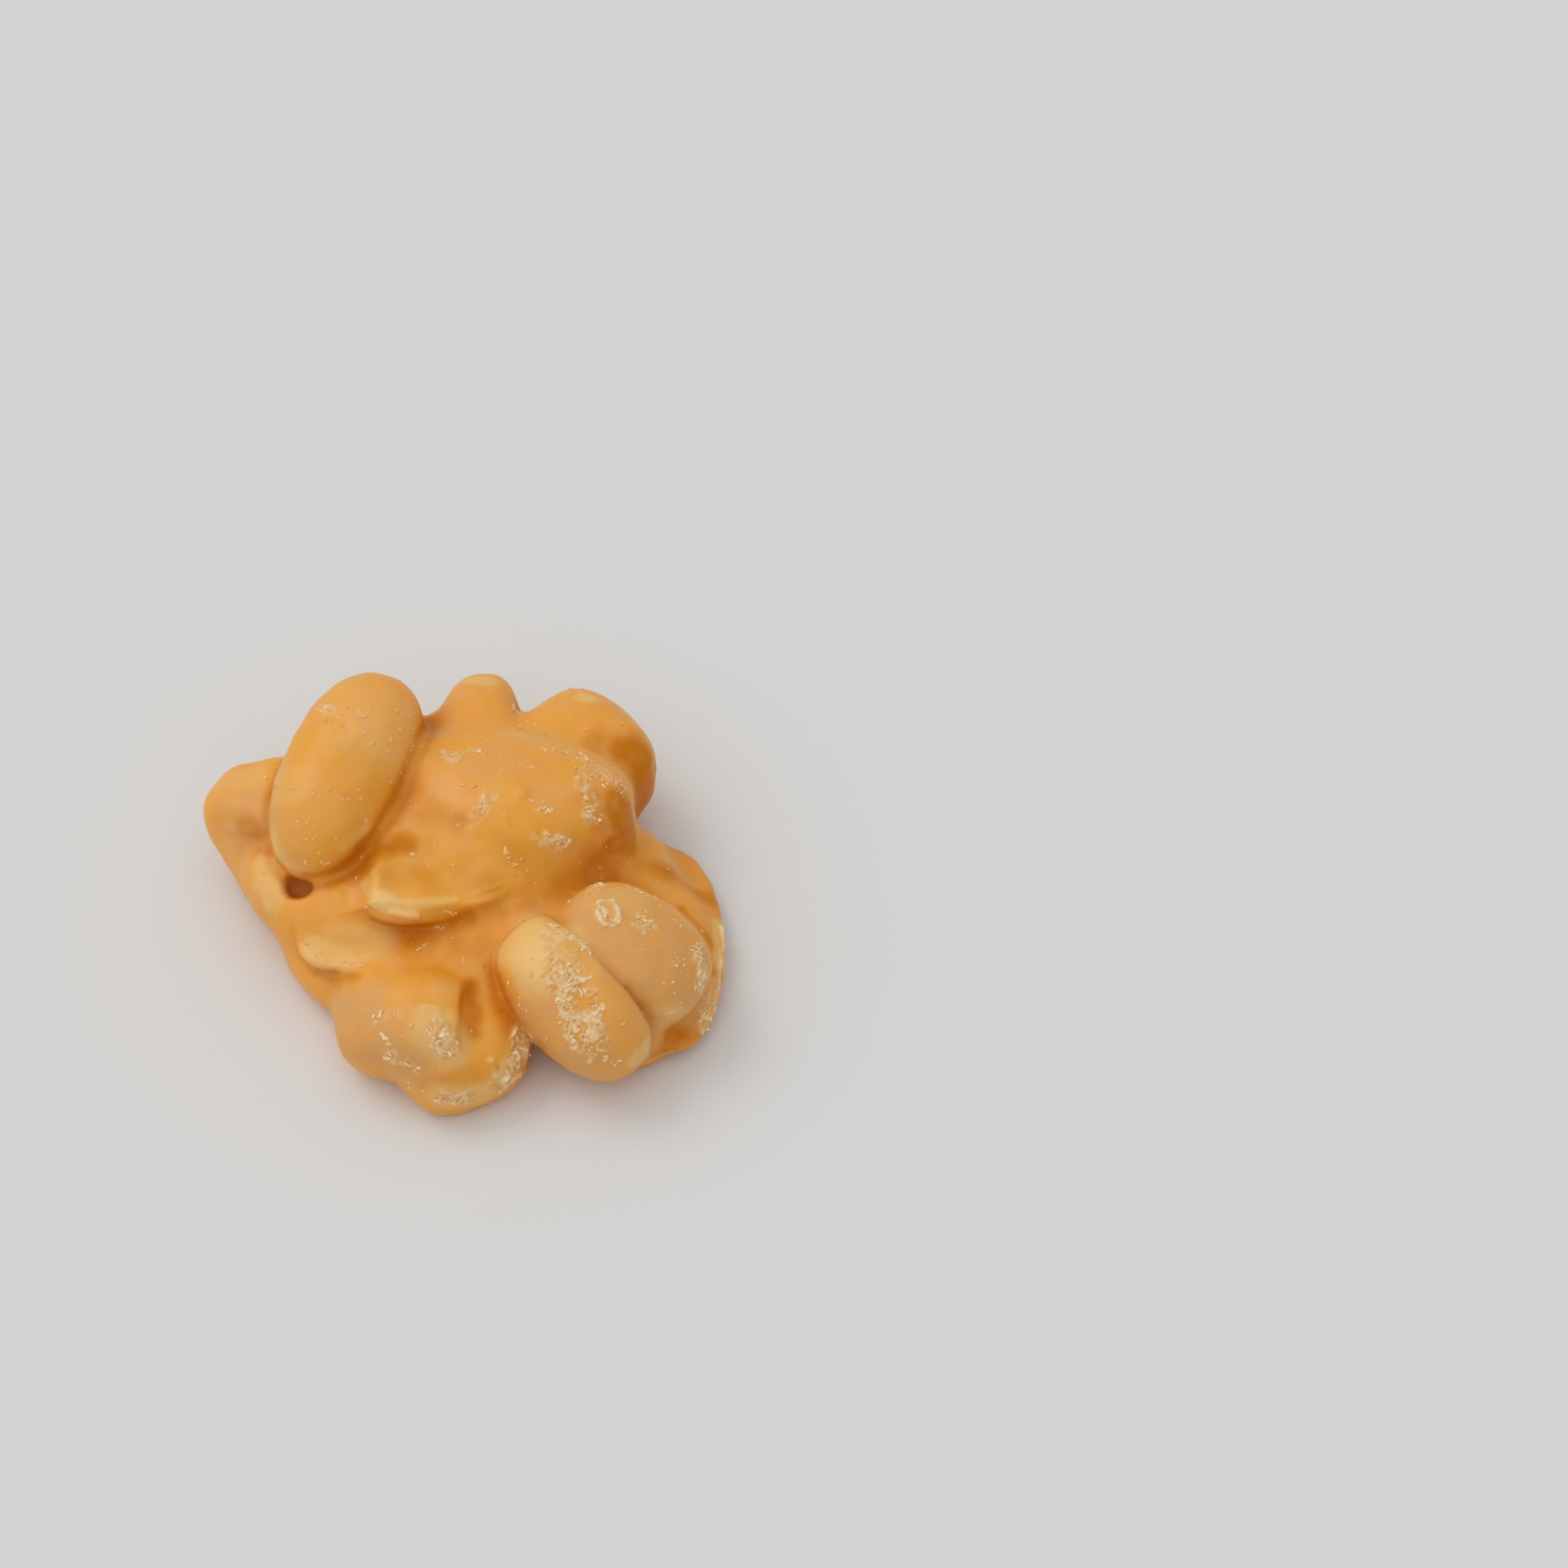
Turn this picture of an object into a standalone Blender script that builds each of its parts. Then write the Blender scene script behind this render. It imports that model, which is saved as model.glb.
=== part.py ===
"""A caramel peanut cluster: whole and split peanuts held under one coat of caramel, on a flat base.

Every nut and every mound of caramel is a rounded lump given by its two ends, its width and its
depth.  The lumps flow into each other over their own blend width, and the skin of the whole is
one closed mesh.  Sizes are millimetres until the object is made: +Z up, front towards -Y.
"""

from dataclasses import dataclass

import bmesh
import bpy
import numpy as np

NODE = "peanut_cluster"
MILLIMETRE = 0.001

GRID_STEP = 0.5
GRID_MARGIN = 2.0
BELOW_BASE = 1.5
SETTLE_ROUNDS = 3
SKIN_TRIANGLES = 8600
BASE_SNAP = 0.12

COAT_COLOUR = (0.72, 0.34, 0.085, 1.0)
COAT_ROUGHNESS = 0.42


@dataclass
class Lump:
    """One rounded lump, with its flat and broken faces measured from its middle.

    The fullness runs from 2 for an ellipsoid towards a box, the slant leans the broken faces,
    and a hollow lump is taken out of what comes before it.
    """

    name: str
    tail: tuple
    tip: tuple
    width: float
    depth: float
    blend: float
    fullness: float = 2.35
    taper: float = 0.0
    roll: float = 0.0
    flat: float = None
    broken_tail: float = None
    broken_tip: float = None
    slant: float = 0.0
    rim: float = 0.6
    hollow: bool = False


MOUNDS = (
    Lump("left_mound", (-16.9, 1.6, 2.0), (8.0, -6.3, 2.5), 17.0, 9.0, 2.0),
    Lump("middle_mound", (-5.4, -17.0, 1.5), (3.4, 15.6, 3.5), 19.0, 12.0, 3.0),
    Lump("slope_mound", (-1.2, -7.4, 4.0), (9.6, 9.2, 6.0), 17.0, 12.0, 4.0),
    Lump("back_mound", (-11.6, 12.6, 6.0), (13.5, 10.3, 6.0), 14.0, 13.0, 3.0),
    Lump("right_mound", (5.8, -12.4, 2.5), (20.6, 1.7, 3.0), 17.0, 8.0, 2.0),
    Lump("front_pool", (0.6, -1.5, 4.5), (2.5, -20.6, 2.2), 11.6, 8.0, 2.0, fullness=2.6),
    Lump("right_shelf", (11.0, 3.5, 3.5), (19.5, 3.3, 3.0), 9.0, 7.0, 3.0),
    Lump("right_lip", (18.7, 7.2, 2.2), (19.9, -15.8, 1.6), 11.0, 3.0, 2.0, fullness=2.2),
    Lump("gap_fill", (3.6, -6.2, 6.5), (11.6, -7.7, 6.0), 7.0, 6.5, 2.0),
    Lump("front_web", (-7.7, -7.5, 4.2), (-3.6, -14.6, 4.2), 9.0, 8.0, 2.5),
    Lump("side_web", (-14.9, -3.8, 2.8), (-8.8, -9.9, 3.0), 6.5, 5.5, 2.5),
    Lump("left_web", (-15.8, -2.6, 6.0), (-5.3, -5.4, 6.8), 7.0, 6.0, 3.0),
)

NUTS = (
    Lump("far_left_nut", (-24.0, 10.0, 6.5), (-14.1, 4.7, 8.0), 8.4, 8.0, 2.5, fullness=2.8),
    Lump("left_skirt", (-21.5, 9.7, 4.0), (-17.4, -0.6, 4.0), 5.8, 7.5, 3.0),
    Lump("lower_left_nut", (-18.7, 0.4, 6.0), (-4.8, -4.7, 7.5), 9.0, 8.0, 2.5),
    Lump("left_knuckle", (-18.6, 3.1, 7.0), (-15.6, -3.1, 6.0), 5.5, 6.0, 1.5),
    Lump("centre_nut", (-5.3, 7.6, 9.6), (16.2, 5.9, 9.3), 12.5, 11.5, 3.0, fullness=2.6),
    Lump("buried_nut", (-3.7, 1.0, 9.0), (8.3, 2.6, 9.8), 11.0, 7.5, 4.5),
    Lump("back_nut", (1.2, 22.4, 9.5), (1.0, 6.6, 8.0), 8.0, 8.0, 2.1),
    Lump("back_low_left_nut", (-16.2, 8.6, 3.5), (-3.7, 15.6, 4.5), 8.0, 8.0, 1.5),
    Lump("back_low_right_nut", (3.3, 15.6, 3.8), (15.8, 9.6, 3.6), 8.5, 8.5, 1.2),
    Lump("back_right_nut", (6.4, 18.7, 8.0), (15.7, 8.6, 6.6), 12.2, 11.0, 1.1, fullness=2.7),
    Lump("top_web", (-6.3, 11.5, 10.2), (-4.5, 5.8, 10.2), 8.6, 7.6, 3.6),
    Lump("under_fill", (-15.5, 2.6, 6.6), (-6.7, 15.2, 8.6), 7.4, 7.0, 2.0),
    Lump("valley_fill", (-8.9, 2.6, 9.6), (-2.0, 2.0, 9.6), 7.0, 6.5, 2.4),
    Lump(
        "left_half", (-14.5, -7.8, 7.6), (-5.0, -7.6, 8.2), 5.6, 6.0, 0.8,
        roll=193, fullness=2, flat=0.0, rim=0.35,
    ),
    Lump("half_fill", (-8.4, -3.5, 6.7), (0.1, -3.8, 6.9), 6.0, 5.0, 2.0),
    Lump(
        "centre_half", (-12.3, -3.1, 11.6), (5.1, -3.0, 9.8), 7.2, 7.4, 0.7,
        roll=178, fullness=2.7, flat=-1.3, broken_tail=0.38, slant=46, rim=0.3,
    ),
    Lump("front_rim", (-7.7, -5.9, 10.9), (0.2, -5.3, 10.4), 3.8, 2.5, 0.9),
    Lump("front_left_nut", (-10.2, -15.2, 3.4), (0.5, -15.0, 5.4), 8.6, 8.2, 3.0),
    Lump(
        "front_left_end", (-6.7, -15.7, 5.9), (2.5, -15.9, 5.7), 9.0, 8.2, 1.2,
        fullness=2.5, broken_tip=0.7, rim=0.4,
    ),
    Lump("front_nut", (-3.3, -21.1, 2.4), (5.4, -14.6, 3.6), 7.6, 8.0, 2.0),
    Lump("right_nut", (10.3, -4.6, 8.8), (22.6, -12.9, 5.6), 11.6, 9.2, 2.0),
    Lump("seam_fill", (10.1, -8.6, 8.2), (17.1, -16.0, 3.8), 4.6, 6.5, 1.2),
    Lump("crevice_fill", (14.1, -11.5, 3.0), (18.3, -16.8, 2.2), 5.5, 6.0, 1.5),
    Lump("pocket", (-15.6, -2.2, 9.2), (-12.8, -2.9, 9.4), 2.8, 3.0, 1.2, hollow=True),
    Lump(
        "front_right_half", (5.6, -7.0, 8.2), (17.0, -19.3, 4.6), 10.6, 10.4, 0.4,
        roll=95, flat=-3.0, rim=0.4,
    ),
    Lump("shoulder_web", (-19.1, 9.9, 7.2), (-14.9, 9.0, 10.0), 5.6, 5.6, 2.0),
    Lump("top_left_nut", (-7.1, 17.6, 14.7), (-14.4, -2.6, 11.4), 11.5, 10.5, 1.0, taper=-0.06),
)


def blended_union(first, second, width):
    """Join two distance fields, rounding the valley between them."""
    share = np.clip(0.5 + 0.5 * (second - first) / width, 0.0, 1.0)
    return second * (1.0 - share) + first * share - width * share * (1.0 - share)


def blended_cut(solid, outside, width):
    """Keep the part of a solid where the other field is negative too, with a rounded edge."""
    return -blended_union(-solid, -outside, width)


def lump_axes(lump):
    """Unit vectors along the length, across the width and through the depth of a lump."""
    along = np.subtract(lump.tip, lump.tail)
    along = along / np.linalg.norm(along)
    across = np.cross((0.0, 0.0, 1.0), along)
    across = across / np.linalg.norm(across)
    through = np.cross(along, across)
    turn = np.radians(lump.roll)
    turned_across = across * np.cos(turn) + through * np.sin(turn)
    turned_through = through * np.cos(turn) - across * np.sin(turn)
    return np.array((along, turned_across, turned_through))


def lump_distance(lump, points):
    """Signed distance, near enough close to the skin, from points to one lump."""
    middle = np.add(lump.tail, lump.tip) / 2
    half_length = np.linalg.norm(np.subtract(lump.tip, lump.tail)) / 2
    x, y, z = np.moveaxis((points - middle) @ lump_axes(lump).T, -1, 0)
    swell = 1 + lump.taper * np.clip(x / half_length, -1.3, 1.3)
    radii = (half_length, lump.width / 2 * swell, lump.depth / 2 * swell)
    ratios = [np.abs(c) / r + 1e-6 for c, r in zip((x, y, z), radii)]
    power = lump.fullness
    level = sum(ratio**power for ratio in ratios) ** (1 / power)
    slopes = [ratio ** (power - 1) / r for ratio, r in zip(ratios, radii)]
    steepness = np.sqrt(sum(slope**2 for slope in slopes)) * level ** (1 - power)
    distance = (level - 1) / steepness
    if lump.flat is not None:
        distance = blended_cut(distance, lump.flat - z, lump.rim)
    slant = np.radians(lump.slant)
    leaning = x * np.cos(slant) + z * np.sin(slant)
    if lump.broken_tail is not None:
        distance = blended_cut(distance, -lump.broken_tail * half_length - leaning, lump.rim)
    if lump.broken_tip is not None:
        distance = blended_cut(distance, leaning - lump.broken_tip * half_length, lump.rim)
    return distance


def cluster_distance(points):
    """Signed distance to the whole cluster: the mounds first, then the nuts one by one."""
    distance = np.full(points.shape[:-1], 1000.0)
    for lump in MOUNDS + NUTS:
        gap = lump_distance(lump, points)
        if lump.hollow:
            distance = blended_cut(distance, -gap, lump.blend)
        else:
            distance = blended_union(distance, gap, lump.blend)
    return distance


def grid_axes():
    """Sample positions that hold every lump, reaching a little below the base."""
    ends = np.array([end for lump in MOUNDS + NUTS for end in (lump.tail, lump.tip)])
    reach = max(lump.width for lump in NUTS) / 2 + GRID_MARGIN
    low = ends.min(axis=0) - reach
    high = ends.max(axis=0) + reach
    low[2] = -BELOW_BASE
    return [np.arange(a, b, GRID_STEP) for a, b in zip(low, high)]


def skin_of(values, corner):
    """Vertices and quads of the zero level: one vertex in each grid cell that it crosses."""
    cell_shape = tuple(n - 1 for n in values.shape)
    total = np.zeros(cell_shape + (3,))
    count = np.zeros(cell_shape)
    crossings = []
    for axis in range(3):
        lower = np.take(values, range(values.shape[axis] - 1), axis)
        upper = np.take(values, range(1, values.shape[axis]), axis)
        places = np.argwhere((lower < 0) != (upper < 0))
        places = places[(np.delete(places, axis, axis=1) > 0).all(axis=1)]
        low_value = lower[tuple(places.T)]
        high_value = upper[tuple(places.T)]
        points = places.astype(float)
        points[:, axis] += low_value / (low_value - high_value)
        first, second = np.roll(np.eye(3, dtype=int), -axis - 1, axis=0)[:2]
        rings = [places, places - first, places - first - second, places - second]
        for ring in rings:
            np.add.at(total, tuple(ring.T), points)
            np.add.at(count, tuple(ring.T), 1)
        crossings.append((rings, low_value < 0))
    used = count > 0
    number = np.full(cell_shape, -1)
    number[used] = np.arange(used.sum())
    vertices = total[used] / count[used][:, None] * GRID_STEP + corner
    quads = []
    for rings, faces_up in crossings:
        ring_numbers = np.stack([number[tuple(ring.T)] for ring in rings], axis=1)
        ring_numbers[~faces_up] = ring_numbers[~faces_up][:, ::-1]
        quads.append(ring_numbers)
    return vertices, np.concatenate(quads)


def settle(vertices):
    """Move the vertices onto the true zero level of the cluster."""
    for _ in range(SETTLE_ROUNDS):
        gap = cluster_distance(vertices)
        probe = 0.05
        steps = probe * np.eye(3)
        gradient = np.stack([(cluster_distance(vertices + s) - gap) / probe for s in steps], axis=-1)
        strength = np.maximum((gradient**2).sum(axis=-1), 0.2)
        move = np.clip(gap / strength, -GRID_STEP / 2, GRID_STEP / 2)
        vertices = vertices - gradient * move[:, None]
    return vertices


def skin_mesh():
    """The whole skin as a Blender mesh, open at the bottom of the grid."""
    axes = grid_axes()
    points = np.stack(np.meshgrid(*axes, indexing="ij"), axis=-1)
    corner = np.array([axis[0] for axis in axes])
    vertices, quads = skin_of(cluster_distance(points), corner)
    mesh = bpy.data.meshes.new(NODE)
    mesh.from_pydata(settle(vertices).tolist(), [], quads.tolist())
    return mesh


def thinned(mesh):
    """Bring the skin down to its triangle budget and keep its shape."""
    helper = bpy.data.objects.new("skin", mesh)
    bpy.context.scene.collection.objects.link(helper)
    decimate = helper.modifiers.new("Thin", "DECIMATE")
    decimate.ratio = SKIN_TRIANGLES / (2 * len(mesh.polygons))
    graph = bpy.context.evaluated_depsgraph_get()
    result = bpy.data.meshes.new_from_object(helper.evaluated_get(graph))
    bpy.data.objects.remove(helper)
    return result


def shells(body):
    """The separate shells of a bmesh, each a list of vertices."""
    waiting = set(body.verts)
    found = []
    while waiting:
        edge_of_shell = [waiting.pop()]
        shell = []
        while edge_of_shell:
            vertex = edge_of_shell.pop()
            shell.append(vertex)
            for edge in vertex.link_edges:
                other = edge.other_vert(vertex)
                if other in waiting:
                    waiting.remove(other)
                    edge_of_shell.append(other)
        found.append(shell)
    return found


def keep_largest_shell(body):
    """Fill sealed hollows and drop loose scraps."""
    ordered = sorted(shells(body), key=len)
    for shell in ordered[:-1]:
        bmesh.ops.delete(body, geom=shell, context="VERTS")


def set_flat_base(body):
    """Cut the skin level at z = 0 and close it with one flat face of triangles."""
    for vertex in body.verts:
        if abs(vertex.co.z) < BASE_SNAP:
            vertex.co.z = 0.0
    everything = body.verts[:] + body.edges[:] + body.faces[:]
    bmesh.ops.bisect_plane(
        body, geom=everything, dist=1e-4, plane_co=(0, 0, 0), plane_no=(0, 0, 1), clear_inner=True
    )
    keep_largest_shell(body)
    border = [edge for edge in body.edges if edge.is_boundary]
    bmesh.ops.triangle_fill(body, edges=border, use_beauty=True, use_dissolve=False)


def centre_and_scale(body):
    """Put the middle of the footprint on the origin and turn millimetres into metres."""
    places = np.array([vertex.co for vertex in body.verts])
    middle = (places.min(axis=0) + places.max(axis=0)) / 2
    bmesh.ops.translate(body, verts=body.verts, vec=(-middle[0], -middle[1], 0.0))
    bmesh.ops.scale(body, verts=body.verts, vec=(MILLIMETRE,) * 3)


def coat_material():
    """Caramel coat: warm light brown, softly glossy."""
    material = bpy.data.materials.new("caramel_coat")
    material.use_nodes = True
    shader = material.node_tree.nodes["Principled BSDF"]
    shader.inputs["Base Color"].default_value = COAT_COLOUR
    shader.inputs["Roughness"].default_value = COAT_ROUGHNESS
    shader.inputs["Metallic"].default_value = 0.0
    material.diffuse_color = COAT_COLOUR
    return material


def build_cluster():
    """Make the finished cluster and link it to the scene."""
    mesh = thinned(skin_mesh())
    body = bmesh.new()
    body.from_mesh(mesh)
    set_flat_base(body)
    bmesh.ops.triangulate(body, faces=body.faces)
    bmesh.ops.recalc_face_normals(body, faces=body.faces)
    centre_and_scale(body)
    body.to_mesh(mesh)
    body.free()
    mesh.name = NODE
    mesh.materials.append(coat_material())
    cluster = bpy.data.objects.new(NODE, mesh)
    bpy.context.scene.collection.objects.link(cluster)
    return cluster


def main():
    for old in list(bpy.data.objects):
        bpy.data.objects.remove(old)
    build_cluster()


main()
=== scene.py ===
"""Looks of the caramel peanut cluster: a satin caramel coat over whole and split peanuts.

The skin is made afresh at a fine pitch from the same named lumps as the solid.  It then gets the
coat's unevenness, scuffs, ridges and pits, and a scatter of dry flakes and crumbs lies on it.
Lengths are millimetres in the frame of the part: +Z up, front towards -Y.  A place on the skin is
given as the pixel, across and down, where the photograph shows it, and is worked out from there.
"""

import math
import random
from dataclasses import dataclass, replace

import bmesh
import bpy
import numpy as np
from mathutils import Matrix, Vector, noise
from mathutils.bvhtree import BVHTree


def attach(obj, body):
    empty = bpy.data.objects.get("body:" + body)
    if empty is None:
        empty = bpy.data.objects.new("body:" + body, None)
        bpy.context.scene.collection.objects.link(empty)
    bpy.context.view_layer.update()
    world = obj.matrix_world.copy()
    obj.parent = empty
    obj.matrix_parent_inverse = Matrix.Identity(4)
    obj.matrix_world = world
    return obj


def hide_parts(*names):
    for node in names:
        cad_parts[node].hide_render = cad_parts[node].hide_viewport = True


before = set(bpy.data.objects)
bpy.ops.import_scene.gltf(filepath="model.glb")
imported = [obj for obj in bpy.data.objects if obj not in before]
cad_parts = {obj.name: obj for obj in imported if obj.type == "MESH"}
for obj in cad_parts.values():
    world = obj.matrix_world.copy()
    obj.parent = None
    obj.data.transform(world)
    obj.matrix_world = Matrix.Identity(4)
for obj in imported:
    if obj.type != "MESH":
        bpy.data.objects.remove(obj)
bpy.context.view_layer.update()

NODE = "peanut_cluster"
MILLIMETRE = 0.001

COARSE_STEP = 0.5
GRID_STEP = COARSE_STEP / 2
GRID_MARGIN = 5.0
BELOW_BASE = 1.0
SETTLE_ROUNDS = 4
DRY_MARGIN = 0.12

PHOTO_SIDE = 1728
CAMERA_AT = (30.45, -167.9, 236.4)
CAMERA_TILT = 52.0
CAMERA_LENS = 69.46
SENSOR_WIDTH = 36.0
SIGHT_START = 26.0
SIGHT_STEPS = 90

OVERHEAD_STRENGTH = 0.78
OVERHEAD_SPREAD = 105.0
OVERHEAD_FROM = (-0.36, -0.06, 0.93)
WINDOW_STRENGTH = 0.40
WINDOW_SPREAD = 30.0
WINDOW_FROM = (-0.50, 0.35, 0.79)
FILL_STRENGTH = 0.495
DAYLIGHT = (1.0, 0.99, 0.975)

FLOOR_HALF_SIDE = 1500.0
FLOOR_GAP = 0.05

CREST = (0.92, 0.385, 0.045)
# Painted shade colour for creases, pools and the shade patches.
PAINTED_CREASE_SHADE = (0.66, 0.205, 0.006)
TAN = (0.83, 0.43, 0.145)
GOLDEN = (0.91, 0.40, 0.031)
# Pale colour of thinly coated places, also used for painted highlights.
PALE_COAT_AND_HIGHLIGHT = (0.92, 0.60, 0.21)
FILM = (0.73, 0.37, 0.115)
AMBER_COAT = (0.84, 0.37, 0.025)
CLOUD = (0.88, 0.46, 0.12)
RUBBED = (0.80, 0.40, 0.09)
FLAKE = (0.95, 0.75, 0.46)
FLAKE_SHADE = (0.94, 0.62, 0.29)
SPECK = (0.93, 0.50, 0.15)
SPECK_SHADE = (0.94, 0.61, 0.26)
FLOOR = (0.80, 0.80, 0.795)
FLOOR_SHADE = (0.79, 0.79, 0.785)

SEED = 27


@dataclass
class Lump:
    """One rounded lump, with its flat and broken faces measured from its middle.

    The fullness runs from 2 for an ellipsoid towards a box, the slant leans the broken faces,
    and a hollow lump is taken out of what comes before it.
    """

    name: str
    tail: tuple
    tip: tuple
    width: float
    depth: float
    blend: float
    fullness: float = 2.35
    taper: float = 0.0
    roll: float = 0.0
    flat: float = None
    broken_tail: float = None
    broken_tip: float = None
    slant: float = 0.0
    rim: float = 0.6
    hollow: bool = False


MOUNDS = (
    Lump("left_mound", (-16.9, 1.6, 2.0), (8.0, -6.3, 2.5), 17.0, 9.0, 2.0),
    Lump("middle_mound", (-5.4, -17.0, 1.5), (3.4, 15.6, 3.5), 19.0, 12.0, 3.0),
    Lump("slope_mound", (-1.2, -7.4, 4.0), (9.6, 9.2, 6.0), 17.0, 12.0, 4.0),
    Lump("back_mound", (-11.6, 12.6, 6.0), (13.5, 10.3, 6.0), 14.0, 13.0, 3.0),
    Lump("right_mound", (5.8, -12.4, 2.5), (20.6, 1.7, 3.0), 17.0, 8.0, 2.0),
    Lump("front_pool", (0.6, -1.5, 4.5), (2.5, -20.6, 2.2), 11.6, 8.0, 2.0, fullness=2.6),
    Lump("right_shelf", (11.0, 3.5, 3.5), (19.5, 3.3, 3.0), 9.0, 7.0, 3.0),
    Lump("right_lip", (18.7, 7.2, 2.2), (19.9, -15.8, 1.6), 11.0, 3.0, 2.0, fullness=2.2),
    Lump("gap_fill", (3.6, -6.2, 6.5), (11.6, -7.7, 6.0), 7.0, 6.5, 2.0),
    Lump("front_web", (-7.7, -7.5, 4.2), (-3.6, -14.6, 4.2), 9.0, 8.0, 2.5),
    Lump("side_web", (-14.9, -3.8, 2.8), (-8.8, -9.9, 3.0), 6.5, 5.5, 2.5),
    Lump("left_web", (-15.8, -2.6, 6.0), (-5.3, -5.4, 6.8), 7.0, 6.0, 3.0),
)

NUTS = (
    Lump("far_left_nut", (-24.0, 10.0, 6.5), (-14.1, 4.7, 8.0), 8.4, 8.0, 2.5, fullness=2.8),
    Lump("left_skirt", (-21.5, 9.7, 4.0), (-17.4, -0.6, 4.0), 5.8, 7.5, 3.0),
    Lump("lower_left_nut", (-18.7, 0.4, 6.0), (-4.8, -4.7, 7.5), 9.0, 8.0, 2.5),
    Lump("left_knuckle", (-18.6, 3.1, 7.0), (-15.6, -3.1, 6.0), 5.5, 6.0, 1.5),
    Lump("centre_nut", (-5.3, 7.6, 9.6), (16.2, 5.9, 9.3), 12.5, 11.5, 3.0, fullness=2.6),
    Lump("buried_nut", (-3.7, 1.0, 9.0), (8.3, 2.6, 9.8), 11.0, 7.5, 4.5),
    Lump("back_nut", (1.2, 22.4, 9.5), (1.0, 6.6, 8.0), 8.0, 8.0, 2.1),
    Lump("back_low_left_nut", (-16.2, 8.6, 3.5), (-3.7, 15.6, 4.5), 8.0, 8.0, 1.5),
    Lump("back_low_right_nut", (3.3, 15.6, 3.8), (15.8, 9.6, 3.6), 8.5, 8.5, 1.2),
    Lump("back_right_nut", (6.4, 18.7, 8.0), (15.7, 8.6, 6.6), 12.2, 11.0, 1.1, fullness=2.7),
    Lump("top_web", (-6.3, 11.5, 10.2), (-4.5, 5.8, 10.2), 8.6, 7.6, 3.6),
    Lump("under_fill", (-15.5, 2.6, 6.6), (-6.7, 15.2, 8.6), 7.4, 7.0, 2.0),
    Lump("valley_fill", (-8.9, 2.6, 9.6), (-2.0, 2.0, 9.6), 7.0, 6.5, 2.4),
    Lump(
        "left_half", (-14.5, -7.8, 7.6), (-5.0, -7.6, 8.2), 5.6, 6.0, 0.8,
        roll=193, fullness=2, flat=0.0, rim=0.35,
    ),
    Lump("half_fill", (-8.4, -3.5, 6.7), (0.1, -3.8, 6.9), 6.0, 5.0, 2.0),
    Lump(
        "centre_half", (-12.3, -3.1, 11.6), (5.1, -3.0, 9.8), 7.2, 7.4, 0.7,
        roll=178, fullness=2.7, flat=-1.3, broken_tail=0.38, slant=46, rim=0.3,
    ),
    Lump("front_rim", (-7.7, -5.9, 10.9), (0.2, -5.3, 10.4), 3.8, 2.5, 0.9),
    Lump("front_left_nut", (-10.2, -15.2, 3.4), (0.5, -15.0, 5.4), 8.6, 8.2, 3.0),
    Lump(
        "front_left_end", (-6.7, -15.7, 5.9), (2.5, -15.9, 5.7), 9.0, 8.2, 1.2,
        fullness=2.5, broken_tip=0.7, rim=0.4,
    ),
    Lump("front_nut", (-3.3, -21.1, 2.4), (5.4, -14.6, 3.6), 7.6, 8.0, 2.0),
    Lump("right_nut", (10.3, -4.6, 8.8), (22.6, -12.9, 5.6), 11.6, 9.2, 2.0),
    Lump("seam_fill", (10.1, -8.6, 8.2), (17.1, -16.0, 3.8), 4.6, 6.5, 1.2),
    Lump("crevice_fill", (14.1, -11.5, 3.0), (18.3, -16.8, 2.2), 5.5, 6.0, 1.5),
    Lump("pocket", (-15.6, -2.2, 9.2), (-12.8, -2.9, 9.4), 2.8, 3.0, 1.2, hollow=True),
    Lump(
        "front_right_half", (5.6, -7.0, 8.2), (17.0, -19.3, 4.6), 10.6, 10.4, 0.4,
        roll=95, flat=-3.0, rim=0.4,
    ),
    Lump("shoulder_web", (-19.1, 9.9, 7.2), (-14.9, 9.0, 10.0), 5.6, 5.6, 2.0),
    Lump("top_left_nut", (-7.1, 17.6, 14.7), (-14.4, -2.6, 11.4), 11.5, 10.5, 1.0, taper=-0.06),
)


@dataclass
class Patch:
    """A stretch of skin between two pixels of the photograph, fading out at its reach."""

    name: str
    start: tuple
    end: tuple
    reach: float
    strength: float = 1.0


# Thinly coated pale places, and painted highlights: glints on back_nut_top and back_right_spot,
# the lit front rim of the centre half, and lit tops and sides at far_left_top, top_left_side and
# right_nut_top.
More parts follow.
